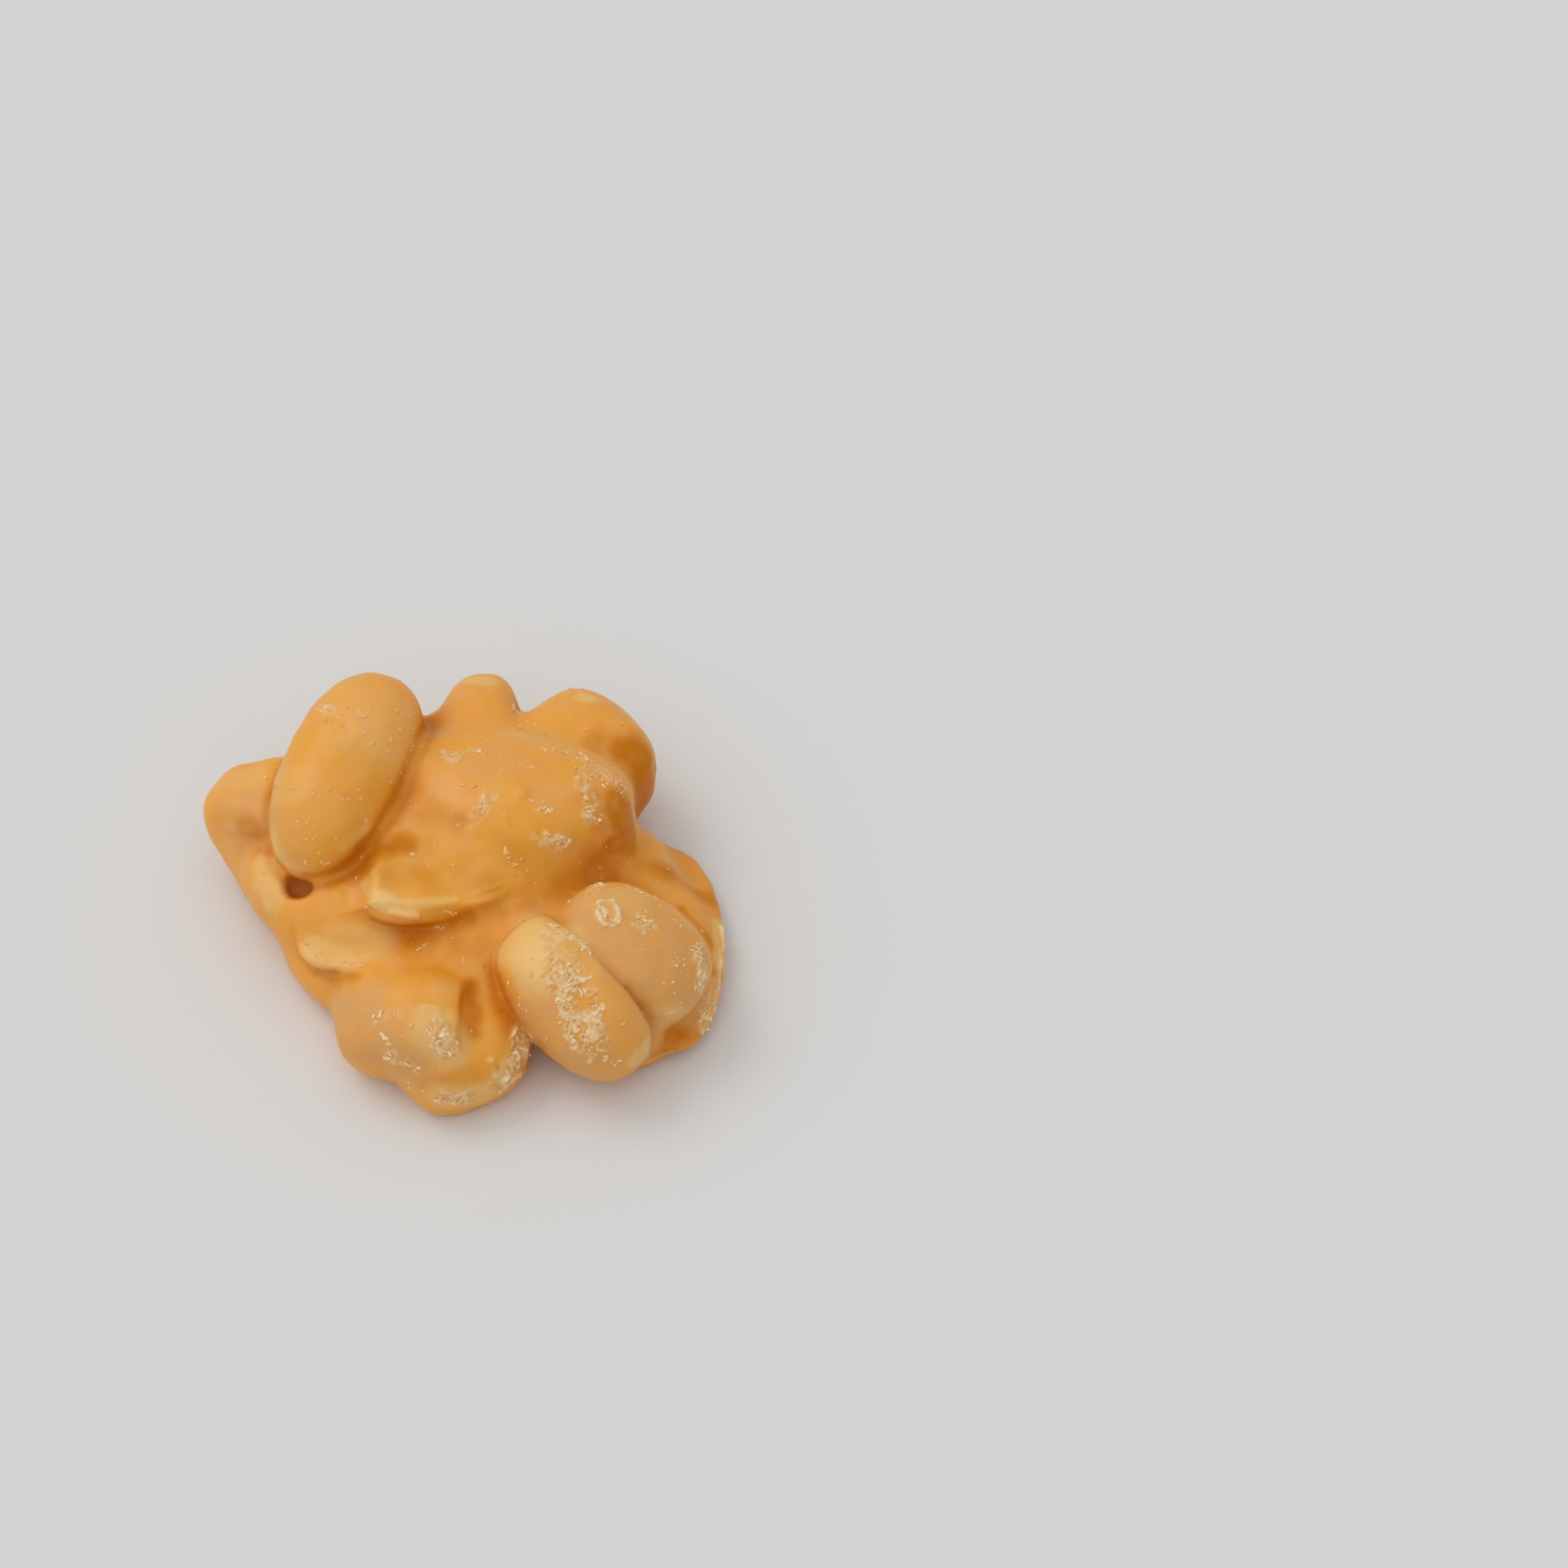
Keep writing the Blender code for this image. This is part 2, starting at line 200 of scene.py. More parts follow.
THIN_COAT_AND_HIGHLIGHTS = (
    Patch("half_crown", (577, 1036), (604, 1054), 3.2, 0.8),
    Patch("half_top_edge", (612, 1030), (645, 1062), 1.3, 0.6),
    Patch("left_half_tip", (346, 1046), (380, 1056), 1.2, 0.6),
    Patch("left_half_face", (376, 1040), (414, 1042), 2.2, 0.4),
    Patch("centre_half_corner", (414, 990), (428, 994), 0.8, 0.9),
    Patch("centre_half_front", (420, 995), (450, 1000), 0.75, 0.7),
    Patch("centre_half_front_end", (450, 1000), (502, 990), 0.4, 0.5),
    Patch("centre_half_facet", (402, 972), (408, 984), 0.6, 0.5),
    Patch("tip_right_edge", (376, 934), (404, 912), 0.6, 0.45),
    Patch("centre_half_ridge", (412, 960), (413, 984), 0.35, 0.8),
    Patch("back_right_spot", (642, 768), (651, 769), 0.8, 0.6),
    Patch("back_nut_top", (520, 749), (538, 750), 0.8, 0.5),
    Patch("knuckle", (290, 958), (300, 992), 1.4, 0.5),
    Patch("broken_end", (478, 1130), (500, 1150), 2.2, 0.55),
    Patch("front_edge", (486, 1212), (532, 1206), 1.5, 0.6),
    Patch("front_side", (560, 1184), (574, 1152), 1.6, 0.5),
    Patch("right_nut_foot", (735, 1120), (770, 1118), 1.6, 0.4),
    Patch("far_left_top", (244, 862), (280, 856), 1.4, 0.25),
    Patch("tip_left_edge", (300, 925), (322, 958), 0.9, 0.4),
    Patch("lip_rim_back", (792, 1020), (794, 1062), 0.9, 0.6),
    Patch("lip_rim_front", (789, 1084), (779, 1130), 0.9, 0.7),
    Patch("half_low_edge", (700, 1168), (714, 1152), 0.8, 0.5),
    Patch("pocket", (326, 972), (334, 974), 1.0, 0.35),
    Patch("top_left_top", (392, 775), (425, 800), 3.4, 0.22),
    Patch("top_left_side", (302, 872), (326, 862), 1.8, 0.25),
    Patch("right_nut_top", (652, 985), (690, 985), 2.0, 0.25),
)

FILMED_COAT = (
    Patch("right_nut", (660, 1005), (745, 1085), 5.0, 0.85),
    Patch("front_left_nut", (388, 1125), (440, 1160), 3.8, 0.85),
    Patch("half_flank", (590, 1100), (640, 1165), 3.6, 0.75),
    Patch("half_right_edge", (690, 1120), (705, 1150), 1.8, 0.4),
    Patch("top_left_flank", (300, 878), (312, 925), 2.4, 0.5),
    Patch("far_left_flank", (262, 893), (276, 915), 2.6, 0.6),
    Patch("centre_nut_back", (500, 840), (610, 845), 1.6, 0.2),
)

SCUFFS = (
    Patch("half_on_top", (622, 1074), (648, 1142), 1.9, 1.0),
    Patch("half_on_top_edge", (606, 1030), (632, 1066), 1.2, 0.6),
    Patch("broken_end", (484, 1138), (494, 1152), 1.2, 0.8),
    Patch("front_edge", (490, 1212), (512, 1208), 0.9, 0.8),
    Patch("front_side", (556, 1192), (576, 1150), 1.3, 0.8),
    Patch("right_nut_rim", (770, 1050), (774, 1086), 1.0, 0.75),
    Patch("lip_low", (780, 1104), (776, 1132), 0.8, 0.6),
    Patch("centre_nut_end", (641, 852), (652, 902), 0.8, 0.5),
    Patch("centre_nut_end_back", (655, 845), (688, 872), 0.9, 0.35),
    Patch("centre_nut_slope", (596, 924), (620, 932), 0.8, 0.6),
    Patch("centre_nut_front", (540, 878), (528, 896), 0.7, 0.6),
    Patch("centre_nut_left", (488, 830), (502, 834), 0.7, 0.7),
    Patch("centre_nut_crest", (512, 827), (532, 831), 0.5, 0.5),
    Patch("centre_nut_back", (622, 830), (650, 838), 0.6, 0.5),
    Patch("right_nut_crown", (706, 1010), (712, 1020), 0.9, 0.6),
    Patch("right_nut_top", (648, 984), (664, 974), 0.6, 0.5),
    Patch("front_left_low", (430, 1164), (456, 1175), 0.7, 0.6),
    Patch("front_left_high", (415, 1122), (434, 1114), 0.7, 0.35),
    Patch("top_left_high", (354, 778), (364, 783), 0.5, 0.7),
)

# Painted shade: patches darkened where shade falls, under and beside the nuts, in crevices and
# valleys and on flanks turned from the light.
PAINTED_SHADE_PATCHES = (
    Patch("back_right_side", (706, 836), (708, 884), 2.6, 0.9),
    Patch("centre_nut_foot", (684, 890), (692, 922), 2.2, 0.95),
    Patch("back_right_foot", (668, 822), (696, 838), 2.3, 0.6),
    Patch("half_right_slope", (515, 955), (550, 985), 2.2, 0.3),
    Patch("centre_nut_end", (652, 880), (664, 912), 1.8, 0.4),
    Patch("right_valley", (674, 934), (692, 912), 1.6, 0.8),
    Patch("under_top_left", (420, 936), (446, 930), 1.5, 0.75),
    Patch("under_tip", (396, 934), (412, 922), 1.0, 0.9),
    Patch("valley_back", (440, 890), (500, 905), 2.0, 0.36),
    Patch("valley_front", (480, 1015), (540, 1065), 2.4, 0.3),
    Patch("under_centre_half", (440, 1024), (516, 1012), 1.5, 0.5),
    Patch("beside_broken_end", (520, 1086), (520, 1138), 1.2, 0.6),
    Patch("crevice", (694, 1088), (716, 1122), 1.0, 0.8),
    Patch("beside_right_nut", (750, 1002), (786, 1044), 0.8, 0.5),
    Patch("beside_top_left", (458, 816), (440, 880), 1.0, 0.45),
    Patch("under_left_half", (350, 1070), (392, 1078), 0.9, 0.5),
    Patch("far_left_crease", (272, 908), (286, 930), 1.6, 0.6),
    Patch("front_gap", (588, 1146), (582, 1160), 1.6, 0.6),
    Patch("centre_half_top", (436, 962), (470, 966), 2.2, 0.35),
    Patch("under_slope", (560, 1000), (600, 985), 2.2, 0.45),
    Patch("pool", (500, 1050), (545, 1040), 2.4, 0.35),
    Patch("front_right_pool", (640, 1150), (660, 1168), 1.6, 0.3),
    Patch("front_lobe", (470, 1195), (520, 1190), 1.8, 0.35),
    Patch("lip_valley", (708, 952), (784, 992), 2.2, 0.42),
    Patch("centre_nut_low", (540, 930), (600, 950), 2.0, 0.35),
)

AMBER = (
    Patch("scuff_core", (640, 1100), (652, 1108), 0.6, 0.8),
    Patch("half_top_edge", (625, 1046), (645, 1064), 1.0, 0.5),
    Patch("centre_half_top", (430, 960), (480, 968), 2.0, 0.45),
    Patch("valley", (425, 900), (465, 905), 2.6, 0.2),
    Patch("top_left_body", (392, 850), (356, 925), 3.0, 0.4),
    Patch("centre_nut_low", (560, 950), (620, 960), 2.5, 0.4),
)

RELIEF = (
    Patch("scuff_core", (638, 1098), (652, 1110), 0.8, -0.16),
    Patch("pool_bubble", (535, 1066), (535, 1066), 0.35, -0.28),
    Patch("slope_bubble", (570, 967), (570, 967), 0.25, -0.16),
    Patch("centre_nut_bump", (575, 872), (578, 874), 0.9, 0.26),
    Patch("slope_bump", (523, 915), (526, 918), 0.9, 0.2),
    Patch("slope_streak", (556, 899), (560, 908), 0.35, 0.2),
    Patch("knuckle_edge", (288, 972), (299, 1004), 0.5, 0.3),
    Patch("lower_lip", (432, 1006), (462, 1010), 0.5, 0.35),
    Patch("lip_tail", (500, 992), (551, 976), 0.3, 0.2),
    Patch("right_nut_crease", (690, 1090), (716, 1122), 0.5, -0.15),
    Patch("top_left_bump", (358, 795), (364, 794), 0.4, 0.22),
    Patch("front_left_end_bump", (470, 1108), (484, 1112), 0.6, 0.25),
    Patch("far_left_fold", (250, 912), (282, 918), 0.4, 0.08),
    Patch("left_fold", (380, 984), (420, 992), 0.5, -0.15),
    Patch("half_scar", (582, 1060), (600, 1062), 0.2, -0.12),
)

FOLDS = (
    Patch("front_side_high", (567, 1134), (540, 1169), 0.42, 0.26),
    Patch("front_side_middle", (580, 1155), (553, 1190), 0.42, 0.34),
    Patch("front_side_low", (574, 1180), (545, 1204), 0.42, 0.26),
    Patch("front_side_groove_high", (575, 1148), (546, 1181), 0.36, -0.34),
    Patch("front_side_groove_low", (578, 1169), (551, 1197), 0.36, -0.28),
    Patch("broken_end_edge", (477, 1134), (490, 1163), 0.3, 0.2),
    Patch("broken_end_top", (490, 1128), (506, 1140), 0.3, 0.18),
    Patch("right_nut_peel_low", (732, 1118), (766, 1098), 0.25, 0.16),
    Patch("right_nut_peel_high", (742, 1104), (770, 1082), 0.22, 0.13),
    Patch("right_nut_peel_rim", (771, 1050), (763, 1092), 0.25, 0.18),
    Patch("right_nut_peel_foot", (752, 1120), (768, 1090), 0.25, 0.18),
    Patch("half_edge_peel", (606, 1018), (652, 1052), 0.3, 0.16),
    Patch("half_rim_edge", (416, 1000), (468, 1010), 0.25, 0.14),
    Patch("half_foot_peel", (700, 1172), (716, 1148), 0.25, 0.12),
    Patch("right_nut_peel_top", (644, 984), (664, 973), 0.22, 0.12),
    Patch("right_nut_peel_crown", (672, 979), (716, 990), 0.22, 0.1),
    Patch("top_left_peel", (354, 780), (364, 777), 0.22, 0.12),
    Patch("half_end_peel", (706, 1150), (716, 1168), 0.25, 0.14),
    Patch("lip_edge_back", (793, 1020), (796, 1050), 0.3, 0.3),
    Patch("lip_edge", (796, 1050), (788, 1110), 0.3, 0.34),
    Patch("lip_edge_front", (788, 1110), (770, 1143), 0.3, 0.26),
)

RINGS = (
    Patch("right_nut_flake", (668, 999), (673, 1014), 1.25, 0.22),
    Patch("top_left_flake", (401, 784), (402, 785), 0.62, 0.1),
    Patch("centre_nut_flake", (537, 877), (538, 881), 0.75, 0.1),
    Patch("centre_nut_left_flake", (494, 831), (497, 832), 0.8, 0.1),
    Patch("centre_nut_right_flake", (641, 858), (642, 866), 0.75, 0.12),
)


@dataclass
class Scatter:
    """Flakes or crumbs strewn between two pixels: how far, how many and how large."""

    name: str
    start: tuple
    end: tuple
    reach: float
    count: int
    smallest: float
    largest: float
    squash: float = 0.3


DROPS = (
    Scatter("pool_high", (494, 1005), (508, 1009), 0.3, 3, 0.68, 1.17),
    Scatter("pool_middle", (487, 1022), (489, 1026), 0.2, 1, 0.94, 1.17),
    Scatter("pool_low", (452, 1038), (470, 1047), 0.3, 2, 0.61, 0.91),
    Scatter("pool_right", (511, 1060), (514, 1062), 0.2, 1, 0.68, 0.78),
    Scatter("pool_back", (497, 1035), (500, 1037), 0.2, 1, 0.54, 0.65),
    Scatter("slope_low", (555, 928), (566, 952), 0.5, 12, 0.34, 0.65),
    Scatter("top_left_tip", (356, 952), (358, 954), 0.1, 1, 0.94, 1.04),
    Scatter("top_left_high", (352, 788), (425, 800), 1.4, 7, 0.41, 0.65),
    Scatter("top_left_right", (437, 770), (428, 838), 0.6, 8, 0.41, 0.65),
    Scatter("top_left_middle", (330, 870), (400, 880), 2.2, 9, 0.41, 0.65),
    Scatter("top_left_low", (330, 918), (368, 930), 1.6, 6, 0.41, 0.65),
    Scatter("half_top", (455, 941), (457, 942), 0.1, 1, 0.61, 0.65),
    Scatter("half_top_right", (480, 930), (481, 931), 0.1, 1, 0.61, 0.65),
    Scatter("slope_right", (554, 1001), (556, 1002), 0.2, 1, 0.41, 0.52),
    Scatter("left_half_edge", (350, 1054), (410, 1066), 0.4, 9, 0.27, 0.59),
)

FLAKES = (
    Scatter("top_left_edge", (454, 765), (438, 862), 0.8, 26, 0.15, 0.35),
    Scatter("top_left_low", (338, 890), (352, 945), 1.6, 12, 0.2, 0.4),
    Scatter("centre_nut_back", (605, 824), (655, 840), 0.5, 20, 0.25, 0.8),
    Scatter("centre_nut_end_high", (640, 850), (688, 874), 0.9, 40, 0.2, 0.6),
    Scatter("centre_nut_end", (645, 876), (654, 905), 0.5, 16, 0.3, 0.8),
    Scatter("centre_nut_front", (538, 878), (526, 897), 0.4, 8, 0.3, 0.8),
    Scatter("centre_nut_top", (553, 845), (592, 844), 0.4, 6, 0.2, 0.5),
    Scatter("centre_nut_slope", (582, 884), (604, 898), 0.6, 12, 0.25, 0.8),
    Scatter("slope_right", (597, 922), (624, 932), 0.5, 14, 0.3, 1.0),
    Scatter("centre_nut_dots", (500, 866), (518, 872), 0.6, 8, 0.15, 0.4),
    Scatter("centre_nut_crest", (490, 830), (535, 830), 0.5, 16, 0.2, 0.6),
    Scatter("right_nut_large", (666, 994), (674, 1018), 0.6, 12, 0.4, 1.0),
    Scatter("right_nut_back", (640, 984), (664, 973), 0.4, 10, 0.3, 0.9),
    Scatter("right_nut_crown", (702, 1008), (716, 1020), 0.6, 16, 0.25, 0.7),
    Scatter("right_nut_right", (738, 1008), (750, 1022), 0.4, 10, 0.25, 0.6),
    Scatter("right_nut_top", (680, 978), (738, 998), 0.5, 14, 0.2, 0.5),
    Scatter("right_nut_rim", (766, 1042), (772, 1088), 0.6, 40, 0.25, 0.9),
    Scatter("right_nut_front", (745, 1050), (738, 1105), 1.0, 18, 0.2, 0.5),
    Scatter("lip_low", (782, 1100), (776, 1134), 0.6, 22, 0.3, 0.9),
    Scatter("front_left_high", (408, 1118), (436, 1116), 0.5, 10, 0.25, 0.7),
    Scatter("front_left_low", (425, 1164), (460, 1176), 0.5, 30, 0.25, 0.9),
    Scatter("front_left_mid", (420, 1140), (432, 1152), 0.5, 10, 0.3, 0.8),
    Scatter("broken_end", (478, 1134), (498, 1154), 0.8, 26, 0.25, 0.9),
    Scatter("front_low", (486, 1214), (516, 1206), 0.6, 20, 0.3, 0.9),
    Scatter("front_side", (552, 1200), (578, 1150), 0.8, 44, 0.25, 0.9),
    Scatter("front_corner", (446, 1186), (452, 1200), 0.3, 6, 0.2, 0.5),
    Scatter("half_edge", (604, 1018), (650, 1050), 0.4, 26, 0.25, 0.8),
    Scatter("half_scuff_high", (620, 1068), (640, 1088), 1.0, 46, 0.3, 0.9),
    Scatter("half_scuff_left", (618, 1092), (630, 1136), 0.8, 46, 0.3, 0.9),
    Scatter("half_scuff_low", (632, 1142), (662, 1140), 0.7, 34, 0.3, 0.9),
    Scatter("half_scuff_right", (660, 1108), (658, 1132), 0.5, 20, 0.3, 0.8),
    Scatter("half_flank", (570, 1104), (582, 1114), 0.4, 6, 0.2, 0.6),
    Scatter("half_low", (662, 1163), (680, 1168), 0.5, 12, 0.25, 0.7),
    Scatter("half_crown", (563, 1036), (578, 1040), 0.8, 6, 0.15, 0.3),
    Scatter("back_nut_right", (564, 772), (588, 800), 0.35, 18, 0.2, 0.6),
    Scatter("back_right_spot", (638, 766), (656, 772), 0.5, 6, 0.2, 0.5),
    Scatter("left_half_tip", (350, 1048), (372, 1062), 0.4, 6, 0.2, 0.4),
)

# Each grain has its size and its seed, from broad to fine.
GRAINS = ((5.0, 3.1), (2.0, 7.7), (0.9, 23.5), (0.5, 11.3))

RING_PLACE = 0.35
RING_WIDTH = 0.17

STRAY_SPECKS = 150
CHIP_CORNERS = 11
LONGEST_CHIP = 0.7
STRAY_SMALLEST = 0.25
STRAY_LARGEST = 0.65
STRAY_SQUASH = 0.5
CRUMB_ON_EDGE = (503, 1154)
CRUMB_LENGTH = 1.25
CRUMB_SQUASH = 0.9


def blended_union(first, second, width):
    """Join two distance fields, rounding the valley between them."""
    share = np.clip(0.5 + 0.5 * (second - first) / width, 0.0, 1.0)
    return second * (1.0 - share) + first * share - width * share * (1.0 - share)


def blended_cut(solid, outside, width):
    """Keep the part of a solid where the other field is negative too, with a rounded edge."""
    return -blended_union(-solid, -outside, width)


def lump_axes(lump):
    """Unit vectors along the length, across the width and through the depth of a lump."""
    along = np.subtract(lump.tip, lump.tail)
    along = along / np.linalg.norm(along)
    across = np.cross((0.0, 0.0, 1.0), along)
    across = across / np.linalg.norm(across)
    through = np.cross(along, across)
    turn = np.radians(lump.roll)
    turned_across = across * np.cos(turn) + through * np.sin(turn)
    turned_through = through * np.cos(turn) - across * np.sin(turn)
    return np.array((along, turned_across, turned_through))


def lump_distance(lump, points):
    """Signed distance, near enough close to the skin, from points to one lump."""
    middle = np.add(lump.tail, lump.tip) / 2
    half_length = np.linalg.norm(np.subtract(lump.tip, lump.tail)) / 2
    x, y, z = np.moveaxis((points - middle) @ lump_axes(lump).T, -1, 0)
    swell = 1 + lump.taper * np.clip(x / half_length, -1.3, 1.3)
    radii = (half_length, lump.width / 2 * swell, lump.depth / 2 * swell)
    ratios = [np.abs(c) / r + 1e-6 for c, r in zip((x, y, z), radii)]
    power = lump.fullness
    level = sum(ratio**power for ratio in ratios) ** (1 / power)
    slopes = [ratio ** (power - 1) / r for ratio, r in zip(ratios, radii)]
    steepness = np.sqrt(sum(slope**2 for slope in slopes)) * level ** (1 - power)
    distance = (level - 1) / steepness
    if lump.flat is not None:
        distance = blended_cut(distance, lump.flat - z, lump.rim)
    slant = np.radians(lump.slant)
    leaning = x * np.cos(slant) + z * np.sin(slant)
    if lump.broken_tail is not None:
        distance = blended_cut(distance, -lump.broken_tail * half_length - leaning, lump.rim)
    if lump.broken_tip is not None:
        distance = blended_cut(distance, leaning - lump.broken_tip * half_length, lump.rim)
    return distance


def cluster_distance(points):
    """Signed distance to the whole cluster: the mounds first, then the nuts one by one."""
    distance = np.full(points.shape[:-1], 1000.0)
    for lump in MOUNDS + NUTS:
        gap = lump_distance(lump, points)
        if lump.hollow:
            distance = blended_cut(distance, -gap, lump.blend)
        else:
            distance = blended_union(distance, gap, lump.blend)
    return distance


def sight_lines(pixels):
    """Unit directions from the camera through pixels of the photograph."""
    tilt = math.radians(CAMERA_TILT)
    forward = np.array((0.0, math.cos(tilt), -math.sin(tilt)))
    upward = np.array((0.0, math.sin(tilt), math.cos(tilt)))
    rightward = np.array((1.0, 0.0, 0.0))
    offsets = (np.array(pixels) / PHOTO_SIDE - 0.5) * SENSOR_WIDTH / CAMERA_LENS
    lines = forward + offsets[:, :1] * rightward - offsets[:, 1:] * upward
    return lines / np.linalg.norm(lines, axis=1)[:, None]


def skin_seen_at(pixels):
    """Points of the skin at pixels of the photograph, to a tenth of a millimetre."""
    camera = np.array(CAMERA_AT)
    lines = sight_lines(pixels)
    reach = (SIGHT_START - camera[2]) / lines[:, 2]
    for _ in range(SIGHT_STEPS):
        gap = cluster_distance(camera + lines * reach[:, None])
        reach += np.clip(gap, -0.5, 5.0) * 0.7
    return (camera + lines * reach[:, None]).round(1)


def on_skin(rows):
    """The patches or scatters with both ends moved from their pixels to the skin."""
    places = skin_seen_at([pixel for row in rows for pixel in (row.start, row.end)])
    return [replace(row, start=a, end=b) for row, a, b in zip(rows, places[::2], places[1::2])]


def sample_axes():
    """Coarse sample positions that hold every lump, reaching a little below the base."""
    ends = np.array([end for lump in MOUNDS + NUTS for end in (lump.tail, lump.tip)])
    low = ends.min(axis=0) - GRID_MARGIN
    high = ends.max(axis=0) + GRID_MARGIN
    low[2] = -BELOW_BASE
    return [np.arange(a, b, COARSE_STEP) for a, b in zip(low, high)]


def halved_pitch(values):
    """The same samples with a new one midway between each two neighbours."""
    for axis in range(3):
        values = np.moveaxis(values, axis, 0)
        filled = np.empty((2 * len(values) - 1,) + values.shape[1:])
        filled[::2] = values
        filled[1::2] = (values[:-1] + values[1:]) / 2
        values = np.moveaxis(filled, 0, axis)
    return values


def skin_of(values, corner):
    """Vertices and quads of the zero level: one vertex in each grid cell that it crosses."""
    cell_shape = tuple(n - 1 for n in values.shape)
    total = np.zeros(cell_shape + (3,))
    count = np.zeros(cell_shape)
    crossings = []
    for axis in range(3):
        lower = np.take(values, range(values.shape[axis] - 1), axis)
        upper = np.take(values, range(1, values.shape[axis]), axis)
        places = np.argwhere((lower < 0) != (upper < 0))
        places = places[(np.delete(places, axis, axis=1) > 0).all(axis=1)]
        low_value = lower[tuple(places.T)]
        high_value = upper[tuple(places.T)]
        points = places.astype(float)
        points[:, axis] += low_value / (low_value - high_value)
        first, second = np.roll(np.eye(3, dtype=int), -axis - 1, axis=0)[:2]
        rings = [places, places - first, places - first - second, places - second]
        for ring in rings:
            np.add.at(total, tuple(ring.T), points)
            np.add.at(count, tuple(ring.T), 1)
        crossings.append((rings, low_value < 0))
    used = count > 0
    number = np.full(cell_shape, -1)
    number[used] = np.arange(used.sum())
    vertices = total[used] / count[used][:, None] * GRID_STEP + corner
    quads = []
    for rings, faces_up in crossings:
        ring_numbers = np.stack([number[tuple(ring.T)] for ring in rings], axis=1)
        ring_numbers[~faces_up] = ring_numbers[~faces_up][:, ::-1]
        quads.append(ring_numbers)
    return vertices, np.concatenate(quads)


def slope_at(vertices, gap):
    """Gradient of the cluster's distance at each vertex."""
    probe = 0.05
    steps = probe * np.eye(3)
    return np.stack([(cluster_distance(vertices + s) - gap) / probe for s in steps], axis=-1)


def settle(vertices):
    """Move the vertices onto the true zero level of the cluster."""
    for _ in range(SETTLE_ROUNDS):
        gap = cluster_distance(vertices)
        gradient = slope_at(vertices, gap)
        strength = np.maximum((gradient**2).sum(axis=-1), 0.2)
        move = np.clip(gap / strength, -GRID_STEP / 2, GRID_STEP / 2)
        vertices = vertices - gradient * move[:, None]
    return vertices


def grain(points, size, seed=0.0):
    """Smooth noise from -1 to 1 at each point, with grains of about the given size."""
    return np.array([noise.noise(Vector(p / size + seed)) for p in points])


def nearness(patch, points):
    """1 on the line between a patch's ends, 0 at its reach and beyond."""
    along = patch.end - patch.start
    share = (points - patch.start) @ along / max(along @ along, 1e-9)
    nearest = patch.start + np.clip(share, 0.0, 1.0)[:, None] * along
    return 1.0 - np.linalg.norm(points - nearest, axis=-1) / patch.reach


def patch_mask(patches, points, ragged, softness):
    """How far each point lies inside the patches, 0 to 1, with an edge roughened by noise."""
    mask = np.zeros(len(points))
    for patch in on_skin(patches):
        level = np.clip((nearness(patch, points) + ragged + softness / 2) / softness, 0.0, 1.0)
        mask = np.maximum(mask, patch.strength * level * level * (3 - 2 * level))
    return mask


def soft_mask(patches, points):
    """Share of the patches at each point, fading out slowly past their reach: 0 to 1."""
    share = np.zeros(len(points))
    for patch in on_skin(patches):
        distance = 1 - nearness(patch, points)
        share = np.maximum(share, patch.strength * np.exp(-(distance**2)))
    return share


def patch_height(patches, points, ragged):
    """Height of the raised and sunken patches at each point."""
    height = np.zeros(len(points))
    for patch in on_skin(patches):
        level = np.clip(nearness(patch, points) * (1.0 + ragged), 0.0, 1.0)
        height += patch.strength * level * level * (3 - 2 * level)
    return height


def hollowness(points, normals):
    """0 on crests and open faces, rising to 1 far down in the creases and pools; it sets where
    painted shade goes.
    """
    total = np.zeros(len(points))
    reaches = (1.0, 2.2, 4.0)
    for reach in reaches:
        total += np.clip(1.0 - cluster_distance(points + normals * reach) / reach, 0.0, 1.0)
    return total / len(reaches)


def keep_largest_shell(body):
    """Drop sealed inner shells and loose scraps."""
    waiting = set(body.verts)
    found = []
    while waiting:
        edge_of_shell = [waiting.pop()]
        shell = []
        while edge_of_shell:
            vertex = edge_of_shell.pop()
            shell.append(vertex)
            for edge in vertex.link_edges:
                other = edge.other_vert(vertex)
                if other in waiting:
                    waiting.remove(other)
                    edge_of_shell.append(other)
        found.append(shell)
    for shell in sorted(found, key=len)[:-1]:
        bmesh.ops.delete(body, geom=shell, context="VERTS")


def base_skin():
    """The skin cut level at z = 0, as a mesh in millimetres."""
    axes = sample_axes()
    points = np.stack(np.meshgrid(*axes, indexing="ij"), axis=-1)
    corner = np.array([axis[0] for axis in axes])
    vertices, quads = skin_of(halved_pitch(cluster_distance(points)), corner)
    mesh = bpy.data.meshes.new("cluster_skin")
    mesh.from_pydata(settle(vertices).tolist(), [], quads.tolist())
    body = bmesh.new()
    body.from_mesh(mesh)
    for vertex in body.verts:
        if abs(vertex.co.z) < GRID_STEP / 4:
            vertex.co.z = 0.0
    everything = body.verts[:] + body.edges[:] + body.faces[:]
    bmesh.ops.bisect_plane(
        body, geom=everything, dist=1e-4, plane_co=(0, 0, 0), plane_no=(0, 0, 1), clear_inner=True
    )
    keep_largest_shell(body)
    border = [edge for edge in body.edges if edge.is_boundary]
    bmesh.ops.triangle_fill(body, edges=border, use_beauty=True, use_dissolve=False)
    bmesh.ops.recalc_face_normals(body, faces=body.faces)
    body.to_mesh(mesh)
    body.free()
    return mesh


def coordinates(mesh):
    """Vertex positions of a mesh as an array."""
    flat = np.empty(len(mesh.vertices) * 3)
    mesh.vertices.foreach_get("co", flat)
    return flat.reshape(-1, 3)


def add_mask(mesh, name, values):
    """Store one number a vertex, for the material to read."""
    attribute = mesh.attributes.new(name, "FLOAT", "POINT")
    attribute.data.foreach_set("value", values.astype(np.float32))


def ring_height(points, ragged):
    """Height of the flat flakes that are raised round their edge, at each point."""
    height = np.zeros(len(points))
    for ring in on_skin(RINGS):
        off_rim = (nearness(ring, points) + 0.5 * ragged - RING_PLACE) / RING_WIDTH
        height += ring.strength * np.exp(-(off_rim**2))
    return height


